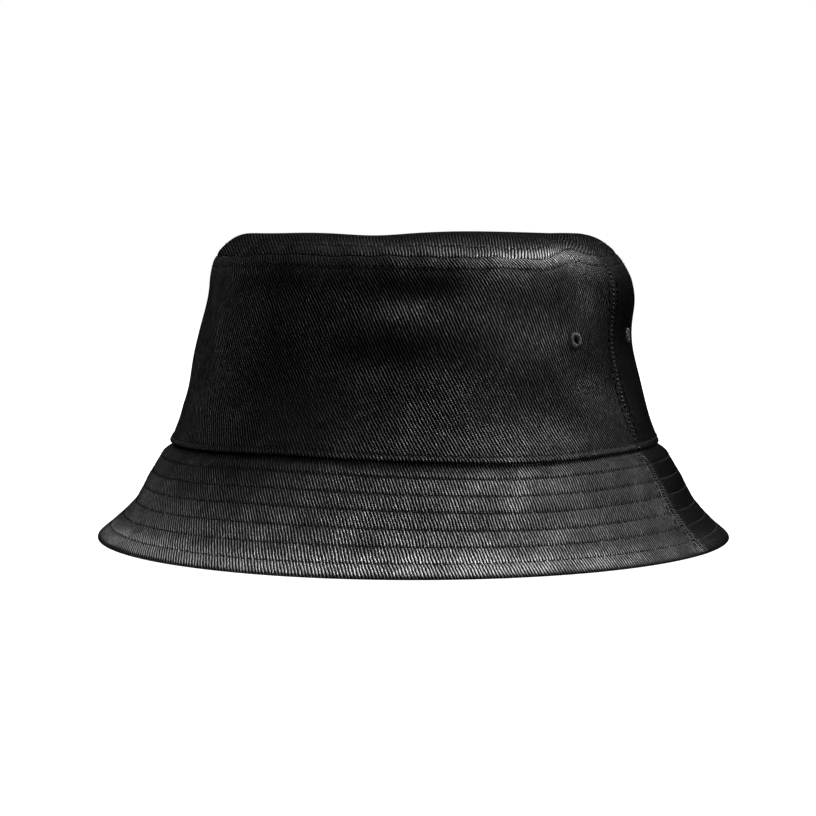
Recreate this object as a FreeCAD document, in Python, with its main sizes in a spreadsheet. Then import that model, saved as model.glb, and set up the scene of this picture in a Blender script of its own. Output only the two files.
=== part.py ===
import FreeCAD, Part
import math
import os

import Sketcher

# A two-panel bucket hat, standing on its brim. Millimetres, +Z up. The front of the hat faces -Y, and
# left and right are the wearer's, so the left side is at +X. The origin is the centre of the brim's
# ring, on the surface that it stands on. Every cloth layer is a shell turned about +Z, and "depth" is
# the distance inwards from the wall's outer face, or downwards from the brim's upper face.

DIMENSIONS = {
    # crown wall, outer face: an arc that flares out to the brim seam, a straight leaning stretch and
    # the rounded shoulder that carries the tip seam
    "seam_height": 37.7,
    "waist_radius": 86.7,
    "waist_height": 80.0,
    "wall_lean": 6.0,
    "flare_radius": 150.0,
    "shoulder_height": 101.0,
    "shoulder_radius": 20.0,
    "tip_seam_angle": 40.2,
    "tip_seam_gap": 0.3,
    "dome_radius": 1200.0,
    # brim, upper face: one arc that flattens towards the edge
    "brim_centre_radius": 186.0,
    "brim_centre_height": 78.0,
    "brim_curve_radius": 98.0,
    "upper_edge_height": 0.2,
    "interlining_edge_height": 3.2,
    "allowance_height": 46.0,
    # cloths and threads
    "twill": 0.7,
    "interlining": 0.5,
    "band_cloth": 0.5,
    "tape_cloth": 0.4,
    "layer_gap": 0.05,
    "thread": 0.25,
    "row_width": 0.5,
    "half_sweep": 179.7,
    # sweatband, a strip folded along its top
    "band_foot": 38.4,
    "band_top": 66.0,
    "band_fold_gap": 0.3,
    "band_hem": 2.5,
    # tapes
    "side_tape_foot": 46.6,
    "side_tape_angle": 12.0,
    "side_tape_sweep": 8.0,
    "tip_tape_depth": 1.5,
    "tip_tape_start": 25.0,
    "tip_tape_end": 58.0,
    # rows of stitches
    "brim_rows": 6.0,
    "brim_row_spacing": 6.75,
    "crown_row_height": 40.3,
    "tip_row_inner_angle": 57.0,
    "tip_row_outer_angle": 26.4,
    "wall_row_foot": 41.6,
    "wall_row_top_angle": 23.0,
    "wall_row_sweep": 0.33,
    "brim_row_foot": 1.6,
    "brim_row_top": 36.6,
    "brim_row_sweep": 0.26,
    "wall_twin_angle": 4.0,
    "brim_twin_angle": 3.6,
    # eyelets
    "eyelet_azimuth": 73.5,
    "eyelet_height": 79.6,
    "eyelet_hole_radius": 1.0,
    "eyelet_neck": 0.35,
    "eyelet_ring_radius": 3.2,
    "eyelet_ring_height": 0.5,
    "eyelet_clearance": 0.12,
    # label that hangs from the tip tape at the centre back
    "label_width": 22.0,
    "label_length": 34.0,
    "label_cloth": 0.4,
    "label_back": 79.6,
    "label_top": 106.0,
    "tack_width": 18.0,
    "tack_back": 80.2,
    "tack_rise": 0.3,
}

document = FreeCAD.newDocument("bucket_hat")
sheet = document.addObject("Spreadsheet::Sheet", "dims")
for row, (alias, number) in enumerate(DIMENSIONS.items(), start=1):
    cell = f"A{row}"
    sheet.set(cell, str(number))
    sheet.setAlias(cell, alias)
document.recompute()

subparts = []


def value(expression):
    """The number that an expression on the sheet's cells gives."""
    return float(sheet.evalExpression(str(expression)))


# ---------------------------------------------------------------- places on the hat, as expressions

FLARE_CENTRE_R = "(dims.waist_radius + dims.flare_radius * cos(dims.wall_lean))"
FLARE_CENTRE_Z = "(dims.waist_height + dims.flare_radius * sin(dims.wall_lean))"
SHOULDER_START_R = (
    "(dims.waist_radius - (dims.shoulder_height - dims.waist_height) * tan(dims.wall_lean))"
)
SHOULDER_CENTRE_R = f"({SHOULDER_START_R} - dims.shoulder_radius * cos(dims.wall_lean))"
SHOULDER_CENTRE_Z = "(dims.shoulder_height - dims.shoulder_radius * sin(dims.wall_lean))"
DOME_REACH = "(dims.dome_radius - dims.shoulder_radius)"
DOME_CENTRE_Z = f"({SHOULDER_CENTRE_Z} - sqrt(pow({DOME_REACH}; 2) - pow({SHOULDER_CENTRE_R}; 2)))"
DOME_START_ANGLE = f"(90 deg - asin({SHOULDER_CENTRE_R} / {DOME_REACH}))"
BRIM_EDGE_ANGLE = "asin(dims.brim_centre_height / dims.brim_curve_radius)"


def flare_point(depth, height):
    """A point on the crown wall below the waist."""
    radius = f"(dims.flare_radius + {depth})"
    reach = f"sqrt(pow({radius}; 2) - pow({FLARE_CENTRE_Z} - {height}; 2))"
    return (f"{FLARE_CENTRE_R} - {reach}", str(height))


def waist_point(depth):
    """Where the flare ends and the straight stretch of the wall starts."""
    return (
        f"dims.waist_radius - ({depth}) * cos(dims.wall_lean)",
        f"dims.waist_height - ({depth}) * sin(dims.wall_lean)",
    )


def shoulder_point(depth, angle):
    """A point on the rounded shoulder, at an angle above the horizontal."""
    radius = f"(dims.shoulder_radius - ({depth}))"
    return (
        f"{SHOULDER_CENTRE_R} + {radius} * cos({angle})",
        f"{SHOULDER_CENTRE_Z} + {radius} * sin({angle})",
    )


def brim_point(depth, height):
    """A point on the brim at a height."""
    radius = f"(dims.brim_curve_radius + ({depth}))"
    reach = f"sqrt(pow({radius}; 2) - pow(dims.brim_centre_height - {height}; 2))"
    return (f"dims.brim_centre_radius - {reach}", str(height))


def brim_polar_point(depth, angle):
    """A point on the brim at an angle of its arc, below the horizontal."""
    radius = f"(dims.brim_curve_radius + ({depth}))"
    return (
        f"dims.brim_centre_radius - {radius} * cos({angle})",
        f"dims.brim_centre_height - {radius} * sin({angle})",
    )


# ---------------------------------------------------------------- sketches and solids

STRAIGHT = None


def arc_left(radius):
    """An edge that is an arc with its centre on the left of the way along the outline."""
    return (radius, 1)


def arc_right(radius):
    """An edge that is an arc with its centre on the right of the way along the outline."""
    return (radius, -1)


def arc_geometry(start, end, radius, side):
    chord = end - start
    middle = (start + end) * 0.5
    left = FreeCAD.Vector(-chord.y, chord.x, 0).normalize()
    rise = math.sqrt(radius**2 - (chord.Length / 2) ** 2)
    centre = middle + left * (side * rise)
    first, last = (start, end) if side > 0 else (end, start)
    first_angle = math.atan2(first.y - centre.y, first.x - centre.x)
    last_angle = math.atan2(last.y - centre.y, last.x - centre.x)
    if last_angle < first_angle:
        last_angle += 2 * math.pi
    circle = Part.Circle(centre, FreeCAD.Vector(0, 0, 1), radius)
    return Part.ArcOfCircle(circle, first_angle, last_angle)


def draw_outline(sketch, points, edges):
    """One closed outline: its corners and radii are bound to the sheet."""
    corners = [FreeCAD.Vector(value(r), value(z), 0) for r, z in points]
    base = sketch.GeometryCount
    starts = []
    ends = []
    for index, edge in enumerate(edges):
        start = corners[index]
        end = corners[(index + 1) % len(corners)]
        if edge is STRAIGHT:
            sketch.addGeometry(Part.LineSegment(start, end))
            starts.append(1)
            ends.append(2)
        else:
            radius, side = edge
            sketch.addGeometry(arc_geometry(start, end, value(radius), side))
            starts.append(1 if side > 0 else 2)
            ends.append(2 if side > 0 else 1)
    count = len(edges)
    for index in range(count):
        following = (index + 1) % count
        sketch.addConstraint(
            Sketcher.Constraint(
                "Coincident", base + index, ends[index], base + following, starts[following]
            )
        )
    for index, (r, z) in enumerate(points):
        for kind, expression, number, axis in (
            ("DistanceX", r, corners[index].x, -2),
            ("DistanceY", z, corners[index].y, -1),
        ):
            place = (base + index, starts[index])
            if expression == "0":
                sketch.addConstraint(Sketcher.Constraint("PointOnObject", *place, axis))
            else:
                name = sketch.addConstraint(Sketcher.Constraint(kind, *place, number))
                sketch.setExpression(f"Constraints[{name}]", expression)
    for index, edge in enumerate(edges):
        if edge is not STRAIGHT:
            number = sketch.addConstraint(
                Sketcher.Constraint("Radius", base + index, value(edge[0]))
            )
            sketch.setExpression(f"Constraints[{number}]", edge[0])


def turned(name, outlines, sweep="360", turn=0.0):
    """A body turned about +Z. Its middle is at +Y, then it is turned by an angle to its place."""
    body = document.addObject("PartDesign::Body", name)
    body.AllowCompound = True
    plane = [item for item in body.Origin.OriginFeatures if item.Role == "YZ_Plane"][0]
    sketch = body.newObject("Sketcher::SketchObject", f"{name}_section")
    sketch.AttachmentSupport = [(plane, "")]
    sketch.MapMode = "FlatFace"
    for points, edges in outlines:
        draw_outline(sketch, points, edges)
    revolution = body.newObject("PartDesign::Revolution", f"{name}_turn")
    revolution.Profile = sketch
    revolution.ReferenceAxis = (sketch, ["V_Axis"])
    revolution.Midplane = True
    revolution.setExpression("Angle", sweep)
    body.Placement = FreeCAD.Placement(
        FreeCAD.Vector(0, 0, 0), FreeCAD.Rotation(FreeCAD.Vector(0, 0, 1), turn)
    )
    body.Label = name
    subparts.append(body)
    return body, sketch, revolution


def twin_rows(name, outline, sweep, spread, turn):
    """Two equal rows, one each side of the seam at the angle turn."""
    body, sketch, revolution = turned(name, [outline], sweep, turn - value(spread) / 2)
    pattern = body.newObject("PartDesign::PolarPattern", f"{name}_pair")
    pattern.Originals = [revolution]
    pattern.Axis = (sketch, ["V_Axis"])
    pattern.Mode = "Extent"
    pattern.Occurrences = 2
    pattern.setExpression("Angle", spread)
    body.Tip = pattern


def wall_outline(outer, inner, foot, top_angle):
    """A section that follows the whole crown wall between two depths."""
    points = [
        flare_point(outer, foot),
        waist_point(outer),
        shoulder_point(outer, "dims.wall_lean"),
        shoulder_point(outer, top_angle),
        shoulder_point(inner, top_angle),
        shoulder_point(inner, "dims.wall_lean"),
        waist_point(inner),
        flare_point(inner, foot),
    ]
    edges = [
        arc_right(f"dims.flare_radius + {outer}"),
        STRAIGHT,
        arc_left(f"dims.shoulder_radius - ({outer})"),
        STRAIGHT,
        arc_right(f"dims.shoulder_radius - ({inner})"),
        STRAIGHT,
        arc_left(f"dims.flare_radius + {inner}"),
        STRAIGHT,
    ]
    return points, edges


def brim_outline(upper, lower, edge_height):
    """A brim layer with its seam allowance, which runs up inside the crown wall."""
    inside_upper = f"({upper} + {WALL_INSIDE})"
    inside_lower = f"({lower} + {WALL_INSIDE})"
    points = [
        brim_point(upper, edge_height),
        brim_point(upper, "dims.seam_height"),
        flare_point(inside_upper, "dims.allowance_height"),
        flare_point(inside_lower, "dims.allowance_height"),
        brim_point(lower, "dims.seam_height"),
        brim_point(lower, edge_height),
    ]
    edges = [
        arc_right(f"dims.brim_curve_radius + {upper}"),
        arc_right(f"dims.flare_radius + {inside_upper}"),
        STRAIGHT,
        arc_left(f"dims.flare_radius + {inside_lower}"),
        arc_left(f"dims.brim_curve_radius + {lower}"),
        STRAIGHT,
    ]
    return points, edges


def four_sided(points):
    """A small section with straight sides, such as a thread's."""
    return points, [STRAIGHT] * 4


def thread_on_shoulder(angle):
    half = "(dims.row_width / dims.shoulder_radius * 90 / pi)"
    return four_sided(
        [
            shoulder_point(ROW_OUTSIDE, f"({angle} - {half})"),
            shoulder_point(ROW_OUTSIDE, f"({angle} + {half})"),
            shoulder_point(ROW_INSIDE, f"({angle} + {half})"),
            shoulder_point(ROW_INSIDE, f"({angle} - {half})"),
        ]
    )


def thread_on_flare(outside, inside, height):
    return four_sided(
        [
            flare_point(outside, f"({height} - dims.row_width / 2)"),
            flare_point(outside, f"({height} + dims.row_width / 2)"),
            flare_point(inside, f"({height} + dims.row_width / 2)"),
            flare_point(inside, f"({height} - dims.row_width / 2)"),
        ]
    )


def thread_on_brim(upper, lower, angle):
    half = "(dims.row_width / dims.brim_curve_radius * 90 deg / pi)"
    return four_sided(
        [
            brim_polar_point(upper, f"({angle} + {half})"),
            brim_polar_point(upper, f"({angle} - {half})"),
            brim_polar_point(lower, f"({angle} - {half})"),
            brim_polar_point(lower, f"({angle} + {half})"),
        ]
    )


# ---------------------------------------------------------------- depths of the layers

WALL_INSIDE = "(dims.twill + 2 * dims.layer_gap)"
INTERLINING_UPPER = "(dims.twill + dims.layer_gap)"
INTERLINING_LOWER = f"({INTERLINING_UPPER} + dims.interlining)"
UNDER_UPPER = f"({INTERLINING_LOWER} + dims.layer_gap)"
UNDER_LOWER = f"({UNDER_UPPER} + dims.twill)"
BAND_OUTER = f"({WALL_INSIDE} + {UNDER_LOWER} + 2 * dims.layer_gap)"
BAND_OUTER_INSIDE = f"({BAND_OUTER} + dims.band_cloth)"
BAND_INNER_OUTSIDE = f"({BAND_OUTER_INSIDE} + dims.band_fold_gap)"
BAND_INNER = f"({BAND_INNER_OUTSIDE} + dims.band_cloth)"
# seam rows lie on the cloth, and the rings that are sewn later cross over them
SEAM_ROW_OUTSIDE = "(0 - dims.layer_gap - dims.thread)"
SEAM_ROW_INSIDE = "(0 - dims.layer_gap)"
ROW_INSIDE = f"({SEAM_ROW_OUTSIDE} - dims.layer_gap)"
ROW_OUTSIDE = f"({ROW_INSIDE} - dims.thread)"
BOBBIN_UPPER = f"({UNDER_LOWER} + dims.layer_gap)"
BOBBIN_LOWER = f"({BOBBIN_UPPER} + dims.thread)"

FRONT = 180.0
BACK = 0.0
LEFT = -90.0
RIGHT = 90.0


# ---------------------------------------------------------------- the pieces


def make_tip_panel():
    start = "(dims.tip_seam_angle + dims.tip_seam_gap)"
    points = [
        shoulder_point("0", start),
        shoulder_point("0", DOME_START_ANGLE),
        ("0", f"{DOME_CENTRE_Z} + dims.dome_radius"),
        ("0", f"{DOME_CENTRE_Z} + dims.dome_radius - dims.twill"),
        shoulder_point("dims.twill", DOME_START_ANGLE),
        shoulder_point("dims.twill", start),
    ]
    edges = [
        arc_left("dims.shoulder_radius"),
        arc_left("dims.dome_radius"),
        STRAIGHT,
        arc_right("dims.dome_radius - dims.twill"),
        arc_right("dims.shoulder_radius - dims.twill"),
        STRAIGHT,
    ]
    turned("tip_panel", [(points, edges)])


def eyelet_place(azimuth, depth):
    """The placement whose Z runs out of the wall at an eyelet, seen from a wall centred on +Y."""
    radius, height = flare_point("0", "dims.eyelet_height")
    tilt = value(f"asin(({FLARE_CENTRE_Z} - dims.eyelet_height) / dims.flare_radius)")
    turn = FreeCAD.Rotation(FreeCAD.Vector(0, 0, 1), azimuth)
    lean = FreeCAD.Rotation(FreeCAD.Vector(1, 0, 0), tilt - 90)
    outwards = (turn * lean).multVec(FreeCAD.Vector(0, 0, 1))
    centre = turn.multVec(FreeCAD.Vector(0, value(radius), value(height)))
    return FreeCAD.Placement(centre - outwards * depth, turn * lean)


def make_wall(name, turn):
    top = "(dims.tip_seam_angle - dims.tip_seam_gap)"
    outline = wall_outline("0", "dims.twill", "dims.seam_height", top)
    body, _, _ = turned(name, [outline], "dims.half_sweep", turn)
    document.recompute()
    whole = body.Shape.Volume
    for side in (-1, 1):
        hole = body.newObject("PartDesign::SubtractiveCylinder", f"{name}_eyelet_hole")
        hole.setExpression(
            "Radius",
            "dims.eyelet_hole_radius + dims.eyelet_neck + dims.eyelet_clearance",
        )
        hole.setExpression("Height", "4 * dims.twill")
        hole.Placement = eyelet_place(side * value("dims.eyelet_azimuth"), value("2 * dims.twill"))
        document.recompute()
    if not body.Shape.Volume < whole:
        raise RuntimeError(f"{name}: the eyelet holes cut nothing")


def make_eyelet(name, azimuth, turn):
    """A ring of close stitches on both faces of the wall, with its neck through the hole."""
    inner_top = "dims.eyelet_ring_height"
    cloth_top = f"({inner_top} + 2 * dims.eyelet_clearance + dims.twill)"
    neck = "(dims.eyelet_hole_radius + dims.eyelet_neck)"
    points = [
        ("dims.eyelet_hole_radius", "0"),
        ("dims.eyelet_ring_radius", "0"),
        ("dims.eyelet_ring_radius", inner_top),
        (neck, inner_top),
        (neck, cloth_top),
        ("dims.eyelet_ring_radius", cloth_top),
        ("dims.eyelet_ring_radius", f"({cloth_top} + dims.eyelet_ring_height)"),
        ("dims.eyelet_hole_radius", f"({cloth_top} + dims.eyelet_ring_height)"),
    ]
    body, _, _ = turned(name, [(points, [STRAIGHT] * len(points))])
    depth = value("dims.twill + dims.eyelet_clearance + dims.eyelet_ring_height")
    half = FreeCAD.Placement(
        FreeCAD.Vector(0, 0, 0), FreeCAD.Rotation(FreeCAD.Vector(0, 0, 1), turn)
    )
    body.Placement = half.multiply(eyelet_place(azimuth, depth))


def make_sweatband():
    below_fold = "(dims.band_top - dims.band_cloth)"
    points = [
        flare_point(BAND_OUTER, "dims.band_foot"),
        flare_point(BAND_OUTER, "dims.band_top"),
        flare_point(BAND_INNER, "dims.band_top"),
        flare_point(BAND_INNER, "dims.band_foot"),
        flare_point(BAND_INNER_OUTSIDE, "dims.band_foot"),
        flare_point(BAND_INNER_OUTSIDE, below_fold),
        flare_point(BAND_OUTER_INSIDE, below_fold),
        flare_point(BAND_OUTER_INSIDE, "dims.band_foot"),
    ]
    edges = [
        arc_right(f"dims.flare_radius + {BAND_OUTER}"),
        STRAIGHT,
        arc_left(f"dims.flare_radius + {BAND_INNER}"),
        STRAIGHT,
        arc_right(f"dims.flare_radius + {BAND_INNER_OUTSIDE}"),
        STRAIGHT,
        arc_left(f"dims.flare_radius + {BAND_OUTER_INSIDE}"),
        STRAIGHT,
    ]
    turned("sweatband", [(points, edges)])
    hem = thread_on_flare(
        f"({BAND_INNER} + dims.layer_gap)",
        f"({BAND_INNER} + dims.layer_gap + dims.thread)",
        "(dims.band_top - dims.band_hem)",
    )
    turned("sweatband_hem_stitch", [hem])


def make_tapes():
    inner = "(dims.tip_tape_depth + dims.tape_cloth)"
    points = [
        shoulder_point("dims.tip_tape_depth", "dims.tip_tape_start"),
        shoulder_point("dims.tip_tape_depth", "dims.tip_tape_end"),
        shoulder_point(inner, "dims.tip_tape_end"),
        shoulder_point(inner, "dims.tip_tape_start"),
    ]
    edges = [
        arc_left("dims.shoulder_radius - dims.tip_tape_depth"),
        STRAIGHT,
        arc_right(f"dims.shoulder_radius - {inner}"),
        STRAIGHT,
    ]
    turned("tip_seam_tape", [(points, edges)])
    side = wall_outline(
        WALL_INSIDE,
        f"({WALL_INSIDE} + dims.tape_cloth)",
        "dims.side_tape_foot",
        "dims.side_tape_angle",
    )
    turned("side_seam_tape_right", [side], "dims.side_tape_sweep", RIGHT)
    turned("side_seam_tape_left", [side], "dims.side_tape_sweep", LEFT)


def make_crown_rows():
    turned("tip_topstitch_upper", [thread_on_shoulder("dims.tip_row_inner_angle")])
    turned("tip_topstitch_lower", [thread_on_shoulder("dims.tip_row_outer_angle")])
    turned("crown_topstitch", [thread_on_flare(ROW_OUTSIDE, ROW_INSIDE, "dims.crown_row_height")])
    row = wall_outline(
        SEAM_ROW_OUTSIDE, SEAM_ROW_INSIDE, "dims.wall_row_foot", "dims.wall_row_top_angle"
    )
    sweep = "dims.wall_row_sweep"
    twin_rows("wall_seam_stitch_right", row, sweep, "dims.wall_twin_angle", RIGHT)
    twin_rows("wall_seam_stitch_left", row, sweep, "dims.wall_twin_angle", LEFT)


def make_brim_rows():
    """Rings of lockstitch: one thread on the upper cloth and one under the lower cloth."""
    for number in range(1, int(value("dims.brim_rows")) + 1):
        step = f"({number} * dims.brim_row_spacing / dims.brim_curve_radius * 180 deg / pi)"
        angle = f"({BRIM_EDGE_ANGLE} - {step})"
        threads = [
            thread_on_brim(ROW_OUTSIDE, ROW_INSIDE, angle),
            thread_on_brim(BOBBIN_UPPER, BOBBIN_LOWER, angle),
        ]
        turned(f"brim_stitch_row_{number}", threads)
    points = [
        brim_point(SEAM_ROW_OUTSIDE, "dims.brim_row_foot"),
        brim_point(SEAM_ROW_OUTSIDE, "dims.brim_row_top"),
        brim_point(SEAM_ROW_INSIDE, "dims.brim_row_top"),
        brim_point(SEAM_ROW_INSIDE, "dims.brim_row_foot"),
    ]
    edges = [
        arc_right(f"dims.brim_curve_radius + {SEAM_ROW_OUTSIDE}"),
        STRAIGHT,
        arc_left(f"dims.brim_curve_radius + {SEAM_ROW_INSIDE}"),
        STRAIGHT,
    ]
    row = (points, edges)
    sweep = "dims.brim_row_sweep"
    twin_rows("brim_seam_stitch_right", row, sweep, "dims.brim_twin_angle", RIGHT)
    twin_rows("brim_seam_stitch_left", row, sweep, "dims.brim_twin_angle", LEFT)


def make_block(name, length, width, height, low_corner):
    """A small flat piece; low_corner is the expressions of its lowest corner."""
    block = document.addObject("Part::Box", name)
    block.setExpression("Length", length)
    block.setExpression("Width", width)
    block.setExpression("Height", height)
    for axis, expression in zip("xyz", low_corner):
        block.setExpression(f"Placement.Base.{axis}", expression)
    block.Label = name
    subparts.append(block)


def make_label():
    make_block(
        "care_label",
        "dims.label_width",
        "dims.label_cloth",
        "dims.label_length",
        (
            "0 - dims.label_width / 2",
            "dims.label_back - dims.label_cloth",
            "dims.label_top - dims.label_length",
        ),
    )
    make_block(
        "label_tack",
        "dims.tack_width",
        "dims.thread",
        "dims.row_width",
        (
            "0 - dims.tack_width / 2",
            "dims.tack_back - dims.thread",
            "dims.label_top + dims.tack_rise",
        ),
    )


make_tip_panel()
for end, angle in (("front", FRONT), ("back", BACK)):
    make_wall(f"wall_{end}", angle)
    turned(
        f"brim_upper_{end}",
        [brim_outline("0", "dims.twill", "dims.upper_edge_height")],
        "dims.half_sweep",
        angle,
    )
    turned(
        f"brim_interlining_{end}",
        [brim_outline(INTERLINING_UPPER, INTERLINING_LOWER, "dims.interlining_edge_height")],
        "dims.half_sweep",
        angle,
    )
    turned(
        f"brim_under_{end}",
        [brim_outline(UNDER_UPPER, UNDER_LOWER, "0")],
        "dims.half_sweep",
        angle,
    )
    # from +Y a positive azimuth turns towards -X, and the front half is turned right round
    side_of_positive = "left" if end == "front" else "right"
    side_of_negative = "right" if end == "front" else "left"
    azimuth = value("dims.eyelet_azimuth")
    make_eyelet(f"eyelet_{end}_{side_of_positive}", azimuth, angle)
    make_eyelet(f"eyelet_{end}_{side_of_negative}", -azimuth, angle)
make_sweatband()
make_tapes()
make_crown_rows()
make_brim_rows()
make_label()

# ---------------------------------------------------------------- checks and files

document.recompute()
for item in document.Objects:
    if "Invalid" in item.State or "Error" in item.State:
        raise RuntimeError(f"{item.Name} did not compute: {item.State}")
for subpart in subparts:
    shape = subpart.Shape
    if shape.isNull() or not shape.isValid() or not shape.Solids:
        raise RuntimeError(f"{subpart.Label} is not a valid solid")

os.makedirs("parts", exist_ok=True)
for subpart in subparts:
    subpart.Shape.exportStep(f"parts/{subpart.Label}.step")
    print(subpart.Label, len(subpart.Shape.Solids), round(subpart.Shape.Volume, 1))
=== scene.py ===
import math

import bmesh
import bpy
import numpy as np
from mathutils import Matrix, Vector


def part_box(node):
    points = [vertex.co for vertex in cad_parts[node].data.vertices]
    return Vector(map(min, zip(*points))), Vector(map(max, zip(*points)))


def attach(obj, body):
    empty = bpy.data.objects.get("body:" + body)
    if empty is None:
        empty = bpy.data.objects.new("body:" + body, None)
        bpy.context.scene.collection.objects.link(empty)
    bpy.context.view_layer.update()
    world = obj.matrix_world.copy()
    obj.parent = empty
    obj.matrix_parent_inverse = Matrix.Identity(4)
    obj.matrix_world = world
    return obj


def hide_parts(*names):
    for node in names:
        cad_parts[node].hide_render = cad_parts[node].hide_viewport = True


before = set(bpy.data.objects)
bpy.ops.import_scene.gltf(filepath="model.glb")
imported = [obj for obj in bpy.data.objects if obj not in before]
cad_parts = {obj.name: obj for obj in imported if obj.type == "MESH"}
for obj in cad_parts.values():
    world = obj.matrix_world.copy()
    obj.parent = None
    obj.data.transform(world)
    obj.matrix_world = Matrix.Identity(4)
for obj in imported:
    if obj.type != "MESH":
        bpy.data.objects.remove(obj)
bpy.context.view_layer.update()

# A black cotton twill bucket hat, standing on its brim. Lengths in this script are millimetres and
# angles are degrees unless a name says otherwise; meshes are written in metres, in the CAD's frame:
# +Z up, the front of the hat towards -Y, the wearer's left towards +X.
#
# A place on the hat is (azimuth, along, rise): azimuth is turned from the front towards +X, along is
# the distance up the crown from the seam where it meets the brim (negative is down the brim), and
# rise is how far the point stands out of the hat's outer face. Every cloth layer, thread and tape is
# placed by hat_point(), so the layers stay together where the hat is dented or creased.

MM = 0.001


def node_box(name):
    low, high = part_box(name)
    return np.array(low) / MM, np.array(high) / MM


# ---------------- the hat's section

SEAM_HEIGHT = node_box("wall_front")[0][2]
BRIM_REST = node_box("brim_under_front")[0][2]
WAIST_RADIUS = 86.7
WAIST_HEIGHT = 80.0
WALL_LEAN = math.radians(6)
FLARE_RADIUS = 150.0
SHOULDER_HEIGHT = 101.0
SHOULDER_RADIUS = 20.0
TIP_SEAM_ANGLE = math.radians(40.2)
DOME_RADIUS = 1200.0
BRIM_CENTRE = np.array([186.0, 78.0])
BRIM_CURVE = 98.0
WALL_INSIDE = 0.8
TWILL = 0.7
BRIM_THICKNESS = 2.0

WAIST = np.array([WAIST_RADIUS, WAIST_HEIGHT])
OUT_OF_WALL = np.array([math.cos(WALL_LEAN), math.sin(WALL_LEAN)])
UP_WALL = np.array([-math.sin(WALL_LEAN), math.cos(WALL_LEAN)])
flare_centre = WAIST + FLARE_RADIUS * OUT_OF_WALL
foot_angle = math.asin((flare_centre[1] - SEAM_HEIGHT) / FLARE_RADIUS)
shoulder_start_radius = WAIST_RADIUS - (SHOULDER_HEIGHT - WAIST_HEIGHT) * math.tan(WALL_LEAN)
shoulder_centre = np.array([shoulder_start_radius, SHOULDER_HEIGHT]) - SHOULDER_RADIUS * OUT_OF_WALL
dome_start_angle = math.acos(shoulder_centre[0] / (DOME_RADIUS - SHOULDER_RADIUS))
dome_centre = shoulder_centre - (DOME_RADIUS - SHOULDER_RADIUS) * np.array(
    [math.cos(dome_start_angle), math.sin(dome_start_angle)]
)
brim_top_angle = math.asin((BRIM_CENTRE[1] - SEAM_HEIGHT) / BRIM_CURVE)

WAIST_AT = FLARE_RADIUS * (foot_angle - WALL_LEAN)
SHOULDER_AT = WAIST_AT + (SHOULDER_HEIGHT - WAIST_HEIGHT) / math.cos(WALL_LEAN)
TIP_SEAM_AT = SHOULDER_AT + SHOULDER_RADIUS * (TIP_SEAM_ANGLE - WALL_LEAN)
DOME_AT = SHOULDER_AT + SHOULDER_RADIUS * (dome_start_angle - WALL_LEAN)
CROWN_END = DOME_AT + DOME_RADIUS * (math.pi / 2 - dome_start_angle)
BRIM_WIDTH = 48.4


def arc(centre, radius, angle, sign=1.0):
    """Points and outward normals on an arc; sign is -1 where the arc's centre is outside the hat."""
    normal = np.stack([np.cos(angle), np.sin(angle)], -1)
    return centre + sign * radius * normal, normal


def section(along):
    """Radius, height and outward normal of the outer face, for distances along the crown or brim."""
    along = np.asarray(along, float)
    brim, brim_normal = arc(BRIM_CENTRE, BRIM_CURVE, brim_top_angle - along / BRIM_CURVE, -1)
    flare, flare_normal = arc(flare_centre, FLARE_RADIUS, foot_angle - along / FLARE_RADIUS, -1)
    wall_normal = np.broadcast_to(OUT_OF_WALL, flare.shape)
    wall = WAIST + (along - WAIST_AT)[..., None] * UP_WALL
    shoulder_angle = WALL_LEAN + (along - SHOULDER_AT) / SHOULDER_RADIUS
    shoulder, shoulder_normal = arc(shoulder_centre, SHOULDER_RADIUS, shoulder_angle)
    dome_angle = dome_start_angle + (along - DOME_AT) / DOME_RADIUS
    dome, dome_normal = arc(dome_centre, DOME_RADIUS, dome_angle)
    point, normal = brim, brim_normal
    for start, p, n in (
        (0, flare, flare_normal),
        (WAIST_AT, wall, wall_normal),
        (SHOULDER_AT, shoulder, shoulder_normal),
        (DOME_AT, dome, dome_normal),
    ):
        later = (along >= start)[..., None]
        point = np.where(later, p, point)
        normal = np.where(later, n, normal)
    return point, normal


def radius_at(along):
    """The section's radius at one distance."""
    return section(np.array(along))[0][0]


# ---------------- how the cloth has settled


def bell(distance, width):
    """1 at no distance, falling smoothly to 1/e at the width."""
    return np.exp(-((distance / width) ** 2))


def ramp(low, high, x):
    """0 below low, 1 above high, smooth between."""
    x = np.clip((x - low) / (high - low), 0, 1)
    return x * x * (3 - 2 * x)


def turned_from(azimuth, place):
    """The azimuth difference, from -180 to 180."""
    return (azimuth - place + 180) % 360 - 180


def ripples(azimuth, along, seed, turns, lengths, count=7):
    """Smooth irregular waves: each has whole turns round the hat and a wavelength along it."""
    random = np.random.default_rng(seed)
    total = 0
    for _ in range(count):
        around_hat = random.integers(turns[0], turns[1] + 1)
        slope = 2 * math.pi / random.uniform(*lengths) * random.choice((-1, 1))
        phase = random.uniform(0, 2 * math.pi)
        total = total + np.cos(np.radians(azimuth) * around_hat + along * slope + phase)
    return total * math.sqrt(2 / count)


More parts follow.
